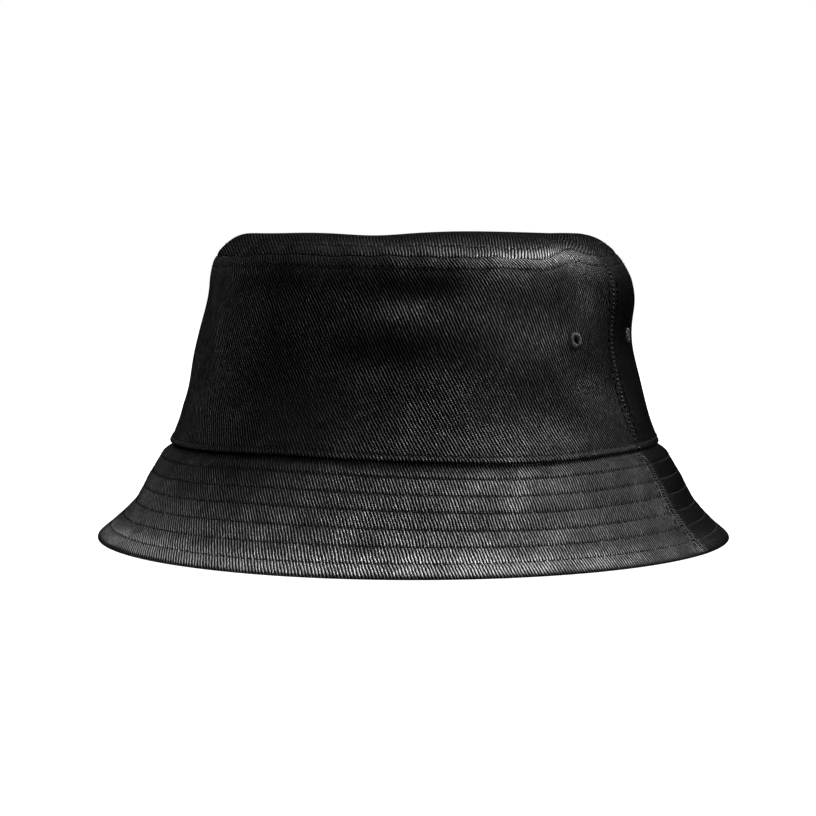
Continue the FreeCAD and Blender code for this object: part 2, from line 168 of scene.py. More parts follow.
# dents and creases: azimuth, place along the crown, half widths (degrees, mm) and rise
DENTS = (
    (63, TIP_SEAM_AT - 2, 7, 6, 0.7),
    (77, TIP_SEAM_AT - 5, 4, 6, -0.9),
    (84, TIP_SEAM_AT + 3, 4, 5, 0.7),
    (103, TIP_SEAM_AT - 9, 10, 10, 0.9),
    (-27, TIP_SEAM_AT + 4, 2.2, 5, -0.9),
    (-9, TIP_SEAM_AT + 4, 2.6, 6, -1.0),
    (-19, TIP_SEAM_AT + 3, 4, 4, 0.4),
    (-37, TIP_SEAM_AT + 3, 4, 4, 0.4),
    (34, 58, 13, 10, -0.9),
    (56, 40, 14, 13, 0.8),
    (16, 30, 16, 12, -0.7),
    (113, 42, 12, 11, -0.9),
    (120, 58, 24, 9, 1.6),
    (117, TIP_SEAM_AT - 1, 22, 8, -1.2),
    (-60, 88, 20, 8, 1.0),
    (-60, 24, 24, 10, -1.0),
)
# smooth waves in the cloth: seed, whole turns round the hat, wavelengths along it
ENDLESS = (1e9, 2e9)
WALL_BENDS = (11, (2, 5), (70, 150))
WALL_WAVES = (12, (7, 13), (30, 60))
TIP_PUCKERS = (13, (26, 40), (40, 90))
EDGE_WAVES = (14, (2, 6), ENDLESS)
SEAM_WANDER = (15, (5, 12), ENDLESS)
BAND_WAVES = (21, (6, 14), (60, 120), 5)
RING_TAPE_WAVES = (31, (20, 34), (30, 60), 5)
SIDE_TAPE_WAVES = (32, (8, 20), (14, 30), 5)
FADING = (17, (24, 50), (16, 40), 6)
# where the tip seam lies off its ring, and how far the brim's seam is lifted: azimuth, half width, mm
SEAM_DRIFTS = ((63, 6, -1.5), (77, 6, 3.6))
SEAM_LIFTS = ((3, 26, 1.7), (57, 18, -0.8))
# how far the tip stands above its dome, and where it sags: place to the side, half width, mm
TIP_RISE = 0.9
TIP_SAGS = ((-17, 16, -1.3), (22, 17, 0.4))
TIP_MIDDLE_SAG = 1.3
BRIM_FULLNESS = 2.0
VIEW_AZIMUTH = 29.8
REST_SOFTNESS = 0.6


def settled(azimuth, along):
    """How far the whole cloth, all its layers, stands out from the plain section."""
    on_wall = ramp(2, 16, along) * (1 - ramp(TIP_SEAM_AT + 6, TIP_SEAM_AT + 30, along))
    rise = 0.50 * on_wall * ripples(azimuth, along, *WALL_BENDS)
    rise = rise + 0.22 * on_wall * ripples(azimuth, along, *WALL_WAVES)
    by_tip_seam = bell(along - TIP_SEAM_AT - 1, 9)
    rise = rise + 0.22 * by_tip_seam * ripples(azimuth, along, *TIP_PUCKERS)
    down_brim = np.clip(-along / BRIM_WIDTH, 0, 1)
    edge_wave = 1 + ripples(azimuth, 0 * along, *EDGE_WAVES)
    low_side = 1 - 0.9 * bell(turned_from(azimuth, 84), 42)
    rise = rise + 0.45 * down_brim**1.5 * edge_wave * low_side
    rise = rise + BRIM_FULLNESS * ramp(1, 6, -along) * (1 - ramp(14, 30, -along))
    rise = rise + 1.2 * bell(along + 26, 12) * bell(turned_from(azimuth, 30), 55)
    for place, height, wide, tall, depth in DENTS:
        rise = rise + depth * bell(turned_from(azimuth, place), wide) * bell(along - height, tall)
    return rise


def bells(distance_from, rows):
    """The sum of the rows' bells; distance_from gives the distance from a row's place."""
    return sum(change * bell(distance_from(place), wide) for place, wide, change in rows)


def seam_drift(azimuth, along):
    """The tip seam wanders up and down the shoulder; everything near it goes with it."""
    drift = 0.15 * ripples(azimuth, 0 * along, *SEAM_WANDER)
    drift = drift + bells(lambda place: turned_from(azimuth, place), SEAM_DRIFTS)
    return drift * bell(along - TIP_SEAM_AT, 11)


def hat_point(azimuth, along, rise):
    """Places on the hat, in metres."""
    azimuth, along, rise = np.broadcast_arrays(azimuth, along, rise)
    azimuth = azimuth.astype(float)
    along = along.astype(float)
    point, normal = section(along + seam_drift(azimuth, along))
    point = point + normal * (rise + settled(azimuth, along))[..., None]
    radius = point[..., 0]
    height = point[..., 1]
    turn = np.radians(azimuth)
    x = radius * np.sin(turn)
    y = -radius * np.cos(turn)
    # sideways is to the right as the camera sees the hat
    seen = math.radians(VIEW_AZIMUTH)
    sideways = x * math.cos(seen) + y * math.sin(seen)
    sag = TIP_RISE + bells(lambda place: sideways - place, TIP_SAGS)
    sag = sag - TIP_MIDDLE_SAG * bell(radius, 34)
    seam_lift = bells(lambda place: turned_from(azimuth, place), SEAM_LIFTS)
    height = height + seam_lift * ramp(-BRIM_WIDTH, -20, along) * (1 - ramp(8, 26, along))
    height = height + sag * (1 - ramp(62, 82, radius)) * ramp(SHOULDER_HEIGHT, 114, height)
    lean = 1.4 * bell(height - 98, 14) - 0.5 * (1 - ramp(4, 16, height))
    # the cloth lies on whatever the hat stands on, and never goes through it
    pressed = REST_SOFTNESS * np.exp(height / REST_SOFTNESS - 1)
    height = np.where(height < REST_SOFTNESS, pressed, height)
    x = x + lean * math.cos(seen)
    y = y + lean * math.sin(seen)
    return np.stack([x, y, height], -1) * MM


# ---------------- seams and rows of stitches

STITCH = 3.0
ROW_SPACING = 6.9
BRIM_ROWS = [-(BRIM_WIDTH - 0.2 - ROW_SPACING * number) for number in range(1, 7)]
CROWN_ROW = 2.7
HEM_BELOW_FOLD = 2.6
HEM_STITCHES = 175
TIP_ROWS = (TIP_SEAM_AT - 4.9, TIP_SEAM_AT + 5.8)
SEAM_ROW = 3.0
FOOT_ROLL = 0.8
FLAT_FOOT = (118, 26)
SEAM_HALF_BAND = 4.8
SEAM_BAND_RISE = 0.4
SEAM_FURROW = 0.9
UNDER_QUILTING = 0.3
UNDER_SEAM = 0.8
SIDES = (90.0, -90.0)


def stitches_round(along):
    """How many stitches a ring of them has."""
    return int(round(2 * math.pi * radius_at(along) / STITCH))


def channel(distance, phase, depth=0.10, hole=0.30, width=0.42):
    """The furrow that a row of stitches pulls into the cloth, deeper at the needle holes."""
    at_hole = (0.5 + 0.5 * np.cos(2 * math.pi * phase)) ** 2
    return -(depth + hole * at_hole) * bell(distance, width)


def ring_channel(azimuth, along, row):
    return channel(along - row, azimuth / 360 * stitches_round(row))


def side_seams(azimuth, along):
    """The pressed-open side seams: a thick band, a sharp furrow and a row of stitches each side."""
    point, _ = section(along)
    rise = 0
    for side in SIDES:
        distance = np.radians(turned_from(azimuth, side)) * point[..., 0]
        band = np.exp(-((distance / SEAM_HALF_BAND) ** 6))
        rise = rise + SEAM_BAND_RISE * band - SEAM_FURROW * bell(distance, 0.42)
        rise = rise + channel(np.abs(distance) - SEAM_ROW, along / STITCH, 0.06, 0.05, 0.5)
    return rise


def crown_relief(azimuth, along):
    """The outer face of the wall and tip: seams, channels and the turned foot."""
    flat_at, flat_wide = FLAT_FOOT
    roll = FOOT_ROLL * (1 - 0.8 * bell(turned_from(azimuth, flat_at), flat_wide))
    rise = roll * (0.35 + 0.65 * bell(along - 1.1, 1.5)) * (1 - ramp(5, 11, along))
    rise = rise + ring_channel(azimuth, along, CROWN_ROW)
    from_seam = along - TIP_SEAM_AT
    rise = rise + 0.18 * bell(np.abs(from_seam) - 2.5, 1.8) - 0.22 * bell(from_seam, 0.4)
    for row in TIP_ROWS:
        rise = rise + ring_channel(azimuth, along, row)
    on_wall = 1 - ramp(TIP_SEAM_AT - 2.5, TIP_SEAM_AT - 0.5, along)
    rise = rise + side_seams(azimuth, along) * on_wall
    for place in EYELETS.values():
        rise = rise - EYELET_PULL * bell(eyelet_distance(azimuth, along, place), EYELET_REACH)
    return rise


def quilting(along):
    """The cloth is full between the rows of brim stitching."""
    from_edge = (BRIM_ROWS[0] - along) / ROW_SPACING
    return np.abs(np.sin(math.pi * from_edge)) ** 0.8 * ramp(0.5, 4, -along)


def brim_relief(azimuth, along):
    """The brim's upper face."""
    rise = 0.2 * quilting(along)
    for row in BRIM_ROWS:
        rise = rise + ring_channel(azimuth, along, row)
    return rise + side_seams(azimuth, along) * ramp(-2, 2, -along)


def under_relief(azimuth, along):
    """The brim's lower face."""
    rise = UNDER_QUILTING * quilting(along) + side_seams(azimuth, along) * UNDER_SEAM
    for row in BRIM_ROWS:
        rise = rise + ring_channel(azimuth, along, row)
    return rise


EYELET_AT = 44.2
EYELET_TURN = 73.0
EYELET_PULL = 0.25
EYELET_REACH = 3.6
EYELETS = {
    "front_left": EYELET_TURN,
    "front_right": -EYELET_TURN,
    "back_left": 180 - EYELET_TURN,
    "back_right": EYELET_TURN - 180,
}


def eyelet_distance(azimuth, along, place):
    """How far points lie from the eyelet at an azimuth."""
    across = np.radians(turned_from(azimuth, place)) * radius_at(EYELET_AT)
    return np.hypot(across, along - EYELET_AT)


# ---------------- meshes


def spaced(low, high, step, spots=(), fine=0.3, reach=1.6):
    """Values from low to high, a step apart, and closer together near the spots."""
    values = list(np.linspace(low, high, max(2, int(round((high - low) / step)) + 1)))
    for spot in spots:
        near = np.arange(spot - reach, spot + reach + fine / 2, fine)
        values = [v for v in values if abs(v - spot) > reach + fine / 2 or v in (low, high)]
        values += [v for v in near if low + fine / 3 < v < high - fine / 3]
    values = sorted(values)
    kept = [values[0]]
    for v in values[1:-1]:
        if v - kept[-1] > fine / 3 and values[-1] - v > fine / 3:
            kept.append(v)
    return np.array(kept + [values[-1]])


def padded_to(values, stride):
    """Adds middle values until a stride fits the number of gaps."""
    values = list(values)
    while (len(values) - 1) % stride:
        gaps = np.diff(values)
        widest = int(np.argmax(gaps))
        values.insert(widest + 1, (values[widest] + values[widest + 1]) / 2)
    return np.array(values)


def new_object(name, vertices, faces, uvs=None, weld=False):
    """A smooth mesh object; uvs has one pair for each corner of each face, in order."""
    mesh = bpy.data.meshes.new(name)
    mesh.from_pydata(vertices, [], faces)
    if uvs is not None:
        layer = mesh.uv_layers.new(name="cloth")
        layer.data.foreach_set("uv", np.asarray(uvs, np.float32).ravel())
    if weld:
        work = bmesh.new()
        work.from_mesh(mesh)
        bmesh.ops.remove_doubles(work, verts=work.verts, dist=1e-7)
        work.to_mesh(mesh)
        work.free()
    mesh.shade_smooth()
    mesh.set_sharp_from_angle(angle=math.radians(50))
    mesh.update()
    obj = bpy.data.objects.new(name, mesh)
    bpy.context.collection.objects.link(obj)
    return obj


def shell(name, outer, inner, outer_uv, closed=False, stride=1, weld=False):
    """A closed solid between two grids of points. The inner grid may be coarser, by the stride."""
    nu, nv = outer.shape[:2]
    iu = np.arange(0, nu + (1 if closed else 0), stride)
    iv = np.arange(0, nv, stride)
    coarse_u, coarse_v = inner.shape[0], len(iv)
    vertices = np.concatenate([outer.reshape(-1, 3), inner.reshape(-1, 3)])
    faces = []
    uvs = []

    def out(u, v):
        return (u % nu) * nv + v, outer_uv[u, v]

    def inn(a, b):
        return nu * nv + (a % coarse_u) * coarse_v + b, outer_uv[iu[a], iv[b]]

    def add(corners, forward=True):
        corners = corners if forward else corners[::-1]
        faces.append([index for index, _ in corners])
        uvs.extend(uv for _, uv in corners)

    for u in range(nu if closed else nu - 1):
        for v in range(nv - 1):
            add([out(u, v), out(u + 1, v), out(u + 1, v + 1), out(u, v + 1)])
    for a in range(len(iu) - 1):
        for b in range(coarse_v - 1):
            add([inn(a, b), inn(a, b + 1), inn(a + 1, b + 1), inn(a + 1, b)])
    for a in range(len(iu) - 1):
        span = range(iu[a + 1], iu[a] - 1, -1)
        for v, b, forward in ((0, 0, True), (nv - 1, coarse_v - 1, False)):
            add([out(u, v) for u in span] + [inn(a, b), inn(a + 1, b)], forward)
    if not closed:
        for b in range(coarse_v - 1):
            span = range(iv[b], iv[b + 1] + 1)
            for u, a, forward in ((0, 0, True), (nu - 1, coarse_u - 1, False)):
                add([out(u, v) for v in span] + [inn(a, b + 1), inn(a, b)], forward)
    return new_object(name, vertices, faces, uvs, weld)


def layer(name, azimuths, alongs, outer, inner, uv, closed=False, stride=1, weld=False):
    """A cloth layer. outer and inner give (along, rise) for azimuth and along grids."""
    grid_a, grid_s = np.meshgrid(azimuths, alongs, indexing="ij")
    out_along, out_rise = outer(grid_a, grid_s)
    inner_a, inner_s = grid_a[::stride, ::stride], grid_s[::stride, ::stride]
    in_along, in_rise = inner(inner_a, inner_s)
    uv_a = grid_a
    uv_s = out_along
    if closed:
        uv_a = np.vstack([grid_a, grid_a[:1] + 360])
        uv_s = np.vstack([out_along, out_along[:1]])
    outside = hat_point(grid_a, out_along, out_rise)
    inside = hat_point(inner_a, in_along, in_rise)
    return shell(name, outside, inside, uv(uv_a, uv_s), closed, stride, weld)


# how each cloth was cut: radius, part of a full turn that the ring spans when flat, and the
# degrees by which the cloth's grain is turned
WALL_RADIUS = 91.0
WALL_MIDDLE = 40.0
WALL_SPREAD = 0.13
WALL_BIAS = 4.0
SEAM_RADIUS = 96.7
BRIM_SPREAD = 0.43
BRIM_BIAS = 2.0
BRIM_STRETCH = 1.07
TIP_BIAS = 7.0
RING_RADIUS = 88


def turned_half(azimuth):
    """The azimuth from the middle of its own half, front or back."""
    front = np.abs(turned_from(azimuth, 0)) <= 90.0001
    return np.where(front, turned_from(azimuth, 0), turned_from(azimuth, 180))


def on_cloth(reach, turn):
    """Places on the flat cloth, in mm, at a distance and a turn from the middle of the cut ring."""
    return np.stack([reach * np.sin(turn), -reach * np.cos(turn)], -1)


def wall_uv(azimuth, along):
    """Each wall half was cut as a slightly curved strip, smaller at the top."""
    turn = np.radians(turned_half(azimuth)) * WALL_SPREAD - math.radians(WALL_BIAS)
    return on_cloth(WALL_RADIUS / WALL_SPREAD + WALL_MIDDLE - along, turn)


def brim_uv(azimuth, along):
    """Each brim half was cut flat from the cloth as part of a ring."""
    turn = np.radians(turned_half(azimuth)) * BRIM_SPREAD - math.radians(BRIM_BIAS)
    return BRIM_STRETCH * on_cloth(SEAM_RADIUS / BRIM_SPREAD - along, turn)


def tip_uv(azimuth, along):
    """The tip was cut as a circle."""
    return on_cloth(CROWN_END - along, np.radians(azimuth - TIP_BIAS))


def ring_uv(azimuth, along):
    """Tapes and bands run straight round the hat."""
    return np.stack([np.radians(azimuth) * RING_RADIUS, along + 0 * azimuth], -1)


# ---------------- materials


TWILL_SHADE = 0.115
TWILL_SLOPE = 62.5
TWILL_PITCH = 1.17
FLOAT_LENGTH = 0.62
PLY_LENGTH = 0.8
# the twill ramp's ends: black furrows, partly painted shade, and pale ridges, partly wear and partly
# painted highlight
FURROW_BLACK = (0.0003, 0.0003, 0.0003)
RIDGE_WEAR_AND_HIGHLIGHT = (0.6, 0.6, 0.61)


class Nodes:
    """Short calls for building a material's node tree."""

    def __init__(self, material):
        material.use_nodes = True
        self.tree = material.node_tree
        self.tree.nodes.clear()
        self.shader = self.tree.nodes.new("ShaderNodeBsdfPrincipled")
        output = self.tree.nodes.new("ShaderNodeOutputMaterial")
        self.tree.links.new(self.shader.outputs[0], output.inputs[0])

    def put(self, socket, value):
        if isinstance(value, bpy.types.NodeSocket):
            self.tree.links.new(value, socket)
        else:
            socket.default_value = value

    def add(self, kind, *inputs, output=0, **settings):
        """The output of a new node, given its first inputs and its settings."""
        node = self.tree.nodes.new("ShaderNode" + kind)
        for name, value in settings.items():
            setattr(node, name, value)
        for socket, value in zip(node.inputs, inputs):
            self.put(socket, value)
        return node.outputs[output]

    def set(self, **values):
        for name, value in values.items():
            self.put(self.shader.inputs[name.replace("_", " ")], value)

    def times(self, *values, clamp=False):
        product = values[0]
        for value in values[1:]:
            product = self.add("Math", product, value, operation="MULTIPLY", use_clamp=clamp)
        return product

    def plus(self, a, b):
        return self.add("Math", a, b, operation="ADD")

    def line(self, value, slope, base):
        """slope * value + base."""
        return self.add("Math", value, slope, base, operation="MULTIPLY_ADD")

    def power(self, value, power):
        return self.add("Math", value, power, operation="POWER")

    def uv(self):
        across = self.add("SeparateXYZ", self.add("UVMap", uv_map="cloth"))
        return across, across.node.outputs[1]

    def noise(self, x, y, scale, detail=2.0, roughness=0.5):
        return self.add("TexNoise", self.add("CombineXYZ", x, y), 0.0, scale, detail, roughness)

    def ramp(self, value, dark, light):
        """Colour from dark at 0 to light at 1."""
        colour = self.add("ValToRGB", value)
        for element, ends in zip(colour.node.color_ramp.elements, (dark, light)):
            element.color = (*ends, 1)
        return colour

    def bump(self, height, distance, strength):
        normal = self.add("Bump")
        for name, value in (("Strength", strength), ("Distance", distance), ("Height", height)):
            self.put(normal.node.inputs[name], value)
        self.set(Normal=normal)


def rotated(nodes, across, up, angle, pitch):
    """Distance across lines that lean at an angle, counted in lines."""
    a = nodes.times(across, math.sin(angle) / pitch)
    b = nodes.times(up, math.cos(angle) / pitch)
    return nodes.plus(a, b)


def wave(nodes, phase, sharpness=1.0):
    """0 to 1 and back once for each unit of phase."""
    cosine = nodes.add("Math", nodes.times(phase, 2 * math.pi), operation="COSINE")
    return nodes.power(nodes.line(cosine, 0.5, 0.5), sharpness)


def twill_material(name):
    """Black cotton twill: pale ridges, partly wear and partly painted highlight, over black furrows
    that are partly painted shade, with slubs, lint, random faded patches and the painted light
    carried by the point attribute.
    """
    material = bpy.data.materials.new(name)
    nodes = Nodes(material)
    across, up = nodes.uv()
    angle = math.radians(TWILL_SLOPE)
    wander = nodes.line(nodes.noise(across, up, 0.3), 0.7, -0.35)
    line = nodes.plus(rotated(nodes, across, up, angle, TWILL_PITCH), wander)
    ridge = wave(nodes, line, 2.6)
    # the warp floats that make up a ridge, each a short steep yarn
    steep = nodes.times(across, 1 / 2.4)
    floats = wave(nodes, nodes.plus(nodes.times(up, 1 / FLOAT_LENGTH), steep), 0.6)
    body = nodes.times(ridge, nodes.line(floats, 0.3, 0.7))
    # slubs run along the ridges; specks are lint and single worn yarns
    down_line = rotated(nodes, across, up, angle + math.pi / 2, 1.0)
    slub = nodes.noise(line, nodes.times(down_line, 0.28), 1.25, 2.0, 0.6)
    slub = nodes.power(nodes.times(slub, 2.0), 1.7)
    speck = nodes.power(nodes.times(nodes.noise(across, up, 1.1, 3.0, 0.75), 2.0), 1.5)
    broad = nodes.power(nodes.times(nodes.noise(across, up, 0.06, 3.0, 0.6), 2.0), 1.6)
    # the point attribute multiplies in painted light and shade as well as random fading
    shade = nodes.times(
        body,
        nodes.line(slub, 0.8, 0.2),
        nodes.line(speck, 0.7, 0.3),
        nodes.line(broad, 0.6, 0.4),
        nodes.add("Attribute", attribute_name="wear_and_painted_light", output="Fac"),
        TWILL_SHADE,
    )
    # the ramp's pale ridges are partly painted highlight and its black furrows partly painted shade
    colour = nodes.ramp(shade, FURROW_BLACK, RIDGE_WEAR_AND_HIGHLIGHT)
    # only the ridges have the sheen of worn cotton: Metallic keeps it off the furrows
    rough = nodes.line(slub, -0.05, 0.44)
    nodes.set(Base_Color=colour, Roughness=rough, Metallic=nodes.times(nodes.power(ridge, 0.5), 0.9))
    nodes.set(Specular_IOR_Level=0.04)
    nodes.bump(nodes.line(speck, 0.06, body), 0.0004, 0.9)
    return material


def plain_weave_material(name, dark, light, pitch=0.55, rough=0.85, herringbone=0.0):
    """A fine plain weave or, with a herringbone width, a tape of slanting ribs that turn about."""
    material = bpy.data.materials.new(name)
    nodes = Nodes(material)
    across, up = nodes.uv()
    if herringbone:
        zigzag = nodes.add("Math", across, herringbone, operation="PINGPONG")
        threads = wave(nodes, rotated(nodes, zigzag, up, math.radians(45), pitch), 1.0)
    else:
        warp = wave(nodes, nodes.times(across, 1 / pitch), 0.7)
        weft = wave(nodes, nodes.times(up, 1 / pitch), 0.7)
        threads = nodes.line(nodes.times(warp, weft), 0.75, 0.2)
    slub = nodes.noise(across, up, 0.9, 3.0, 0.6)
    shade = nodes.times(threads, nodes.line(slub, 1.0, 0.5), clamp=True)
    nodes.set(Base_Color=nodes.ramp(shade, dark, light), Roughness=rough, Specular_IOR_Level=0.3)
    nodes.bump(shade, 0.00012, 0.8)
    return material


def thread_material(name, dark, light, rough=0.55, gloss=0.4):
    """Twisted sewing thread: fine slanting plies along its length."""
    material = bpy.data.materials.new(name)
    nodes = Nodes(material)
    along, round_it = nodes.uv()
    plies = wave(nodes, nodes.plus(nodes.times(along, 1 / PLY_LENGTH), round_it), 0.8)
    fuzz = nodes.noise(along, round_it, 3.0)
    shade = nodes.times(plies, nodes.line(fuzz, 0.8, 0.6), clamp=True)
    nodes.set(Base_Color=nodes.ramp(shade, dark, light), Roughness=rough, Specular_IOR_Level=gloss)
    nodes.bump(plies, 0.00006, 0.7)
    return material


twill = twill_material("black_twill")
BLACK = (0.003, 0.003, 0.003)
band_cloth = plain_weave_material("band_cotton", BLACK, (0.03, 0.03, 0.031))
tape_cloth = plain_weave_material(
    "herringbone_tape", BLACK, (0.035, 0.035, 0.036), pitch=0.7, herringbone=6.0
)
felt = plain_weave_material("interlining_felt", (0.05, 0.05, 0.052), (0.14, 0.14, 0.14), pitch=1.3)
ribbon = plain_weave_material(
    "label_ribbon", (0.42, 0.41, 0.38), (0.68, 0.67, 0.63), pitch=0.35, rough=0.5
)
DEEP_BLACK = (0.001, 0.001, 0.001)
black_thread = thread_material("black_thread", DEEP_BLACK, (0.014, 0.014, 0.0145), 0.6, 0.22)
# a duller copy of the black thread for the wall's side seams; its darker colour is painted shade
dull_shaded_thread = thread_material("dull_shaded_thread", (0.0005, 0.0005, 0.0005), BLACK, 0.95, 0.04)
silk_thread = thread_material("embroidery_thread", DEEP_BLACK, (0.04, 0.04, 0.042), 0.4, 0.45)
pale_thread = thread_material("pale_thread", (0.3, 0.3, 0.28), (0.6, 0.6, 0.57))


pieces = {}
THREAD_SLOTS = ("thread", "label_thread", "embroidery")


def finish_piece(obj, material, slot, node, body="hat"):
    """Stands the object in for a CAD node and keeps it under that node's name."""
    obj.name = f"{node}_thread" if slot in THREAD_SLOTS else f"{node}_cloth"
    obj.data.name = obj.name
    obj.data.materials.append(material)
    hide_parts(node)
    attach(obj, body)
    pieces[node] = obj


# ---------------- cloth pieces

HALF_GAP = 0.06
HALVES = {"front": 0.0, "back": 180.0}
INNER_STRIDE = 3
# the sizes of the grids' steps: degrees round the hat, mm along it, and mm beside a row or seam
WALL_STEP = 0.5
BRIM_STEP = 0.37
ALONG_STEP = 1.35
BESIDE_ROW = 1.5
FOLD = 0.75
SEAM_THINNER = 0.25
ALLOWANCE = 8.2
EDGE_ROLL = 1.0
BRIM_INNER_EDGE = -(BRIM_WIDTH - 0.35)
STIFFENING_SHORT = 3.2
STIFFENING_FACES = (-0.75, -1.25)


def half_azimuths(middle, step):
    low = middle - 90 + HALF_GAP
    high = middle + 90 - HALF_GAP
    values = spaced(low, high, step, (low, high), 0.17, 3.8)
    return padded_to(values, INNER_STRIDE)


def tip_seam_inside(azimuth, along):
    """The inner face of the wall and tip, where the cloth is thinner beside the tip seam."""
    return along, SEAM_THINNER * bell(along - TIP_SEAM_AT, 0.8) - TWILL + 0 * azimuth


def make_wall(end, middle):
    rows = (CROWN_ROW, TIP_ROWS[0], TIP_SEAM_AT, 0.8)
    main = spaced(FOLD, TIP_SEAM_AT - 0.12, ALONG_STEP, rows, 0.27, BESIDE_ROW)
    fold = np.linspace(-180, 0, 9)[:-1]
    steps = padded_to(np.concatenate([fold, 1 + main]), INNER_STRIDE)

    def outer(azimuth, step):
        turn = np.radians(np.clip(-step, 0, 180))
        folded = step <= 0
        along = np.where(folded, FOLD - FOLD * np.sin(turn), step - 1)
        along = np.where((step > 0) & (step < 1 + FOLD), FOLD, along)
        rise = crown_relief(azimuth, along) - np.where(folded, FOLD * (1 - np.cos(turn)), 0)
        return along, rise

    def inner(azimuth, step):
        return tip_seam_inside(azimuth, np.clip(step - 1, FOLD, None))

    azimuths = half_azimuths(middle, WALL_STEP)
    return layer(f"wall_{end}", azimuths, steps, outer, inner, wall_uv, stride=INNER_STRIDE)


def brim_place(azimuth, along, rise):
    """Inside the crown the brim's allowance lies behind the wall."""
    return along, rise - np.where(along > 0, WALL_INSIDE, 0) + 0 * azimuth


def edge_roll(along, rise, facing):
    """Rounds a brim cloth over the edge; facing is 1 on the upper cloth and -1 on the lower."""
    over = np.clip((-along - (BRIM_WIDTH - EDGE_ROLL)) / EDGE_ROLL, 0, 1)
    turn = over * math.pi / 2
    along = np.where(over > 0, -(BRIM_WIDTH - EDGE_ROLL) - EDGE_ROLL * np.sin(turn), along)
    return along, rise - facing * EDGE_ROLL * (1 - np.cos(turn))


def brim_alongs():
    edge = -(BRIM_WIDTH - EDGE_ROLL) - np.linspace(0, EDGE_ROLL, 8)[::-1]
    low = 0.3 - (BRIM_WIDTH - EDGE_ROLL)
    inside = spaced(low, ALLOWANCE, ALONG_STEP, BRIM_ROWS, 0.3, BESIDE_ROW)
    return padded_to(np.concatenate([edge, inside]), INNER_STRIDE)


def brim_layer(kind, end, azimuths, outer, inner):
    name = f"brim_{kind}_{end}"
    return layer(name, azimuths, brim_alongs(), outer, inner, brim_uv, stride=INNER_STRIDE)


def make_brim_upper(end, middle):
    def outer(azimuth, along):
        rise = brim_relief(azimuth, along) * ramp(-3, 0, -along)
        along, rise = edge_roll(along, rise, 1)
        return brim_place(azimuth, along, rise)

    def inner(azimuth, along):
        along = np.maximum(along, BRIM_INNER_EDGE)
        rise = -TWILL + 0.1 * quilting(along)
        return brim_place(azimuth, along, rise)

    return brim_layer("upper", end, half_azimuths(middle, BRIM_STEP), outer, inner)


def make_brim_under(end, middle):
    def inside(azimuth, along):
        rise = -TWILL - 0.6 - 0.15 * quilting(along)
        return brim_place(azimuth, np.maximum(along, BRIM_INNER_EDGE), rise)

    def below(azimuth, along):
        rise = under_relief(azimuth, along) * ramp(-3, 0, -along)
        along, rise = edge_roll(along, -BRIM_THICKNESS - rise, -1)
        return brim_place(azimuth, along, rise)

    # the lower face is the one with detail, so the grids are built the other way up
    return brim_layer("under", end, half_azimuths(middle, BRIM_STEP)[::-1], below, inside)


def make_interlining(end, middle):
    upper, lower = STIFFENING_FACES
    return layer(
        f"brim_interlining_{end}",
        spaced(middle - 89.9, middle + 89.9, 2.0),
        spaced(-BRIM_WIDTH + STIFFENING_SHORT, ALLOWANCE, 2.0),
        lambda azimuth, along: brim_place(azimuth, along, upper),
        lambda azimuth, along: brim_place(azimuth, along, lower),
        brim_uv,
    )


def make_tip_panel():
    rows = (TIP_SEAM_AT + 0.3, TIP_ROWS[1])
    detailed_to = TIP_SEAM_AT + 26
    near = spaced(TIP_SEAM_AT + 0.12, detailed_to, 1.2, rows, 0.27, BESIDE_ROW)
    far = np.linspace(detailed_to, CROWN_END, 22)[1:]
    alongs = padded_to(np.concatenate([near, far]), INNER_STRIDE)
    azimuths = np.arange(0, 360, WALL_STEP)

    def outer(azimuth, along):
        return along, crown_relief(azimuth, along)

    parts = (azimuths, alongs, outer, tip_seam_inside, tip_uv)
    return layer("tip_panel", *parts, closed=True, stride=INNER_STRIDE, weld=True)


BAND_DEPTH = WALL_INSIDE + BRIM_THICKNESS + 0.1
BAND_PLY = 0.5
BAND_FOLD_GAP = 0.3
BAND_FOOT = 0.9
BAND_SLOPE = math.radians(16)
BAND_FOLD_TALL = 0.7
band_low, band_high = node_box("sweatband")
BAND_TOP = BAND_FOOT + (band_high[2] - band_low[2]) / math.cos(BAND_SLOPE)
BAND_DEEP = BAND_DEPTH + 2 * BAND_PLY + BAND_FOLD_GAP


def band_wave(azimuth, along):
    return 0.5 * ramp(8, 26, along) * ripples(azimuth, along, *BAND_WAVES)


def hem_channel(azimuth, along):
    phase = azimuth / 360 * HEM_STITCHES
    return channel(along - (BAND_TOP - HEM_BELOW_FOLD), phase, 0.12, 0.12, 0.7)


def make_sweatband():
    """One strip, folded along its top: the section runs up the outer ply and down the inner one."""
    fold_at = BAND_TOP - BAND_FOLD_TALL
    up = np.linspace(BAND_FOOT, fold_at, 18)
    fold = np.linspace(0, 180, 9)[1:-1]
    # steps below 0 go up the outer ply, 0 to 180 turn over the fold, and the rest go down
    steps = np.concatenate([up - BAND_TOP, fold, 200 + up])
    half = (BAND_DEEP - BAND_DEPTH) / 2
    middle = -BAND_DEPTH - half

    def ply(azimuth, step, reach):
        turn = np.radians(np.clip(step, 0, 180))
        down = step > 180
        folded = (step > 0) & ~down
        along = np.where(step <= 0, step + BAND_TOP, fold_at + reach * np.sin(turn))
        along = np.where(down, fold_at - (step - 200 - BAND_FOOT), along)
        rise = np.where(folded, middle + reach * np.cos(turn), middle + reach)
        rise = np.where(down, middle - reach, rise)
        stitched = np.where(down & (reach > half - 0.1), -1.0, 0.0)
        return along, rise + stitched * hem_channel(azimuth, along) + band_wave(azimuth, along)

    def outer(azimuth, step):
        return ply(azimuth, step, half)

    def inner(azimuth, step):
        return ply(azimuth, step, half - BAND_PLY + 0.05)

    return layer("sweatband", np.arange(0, 360, 0.6), steps, outer, inner, ring_uv, closed=True)


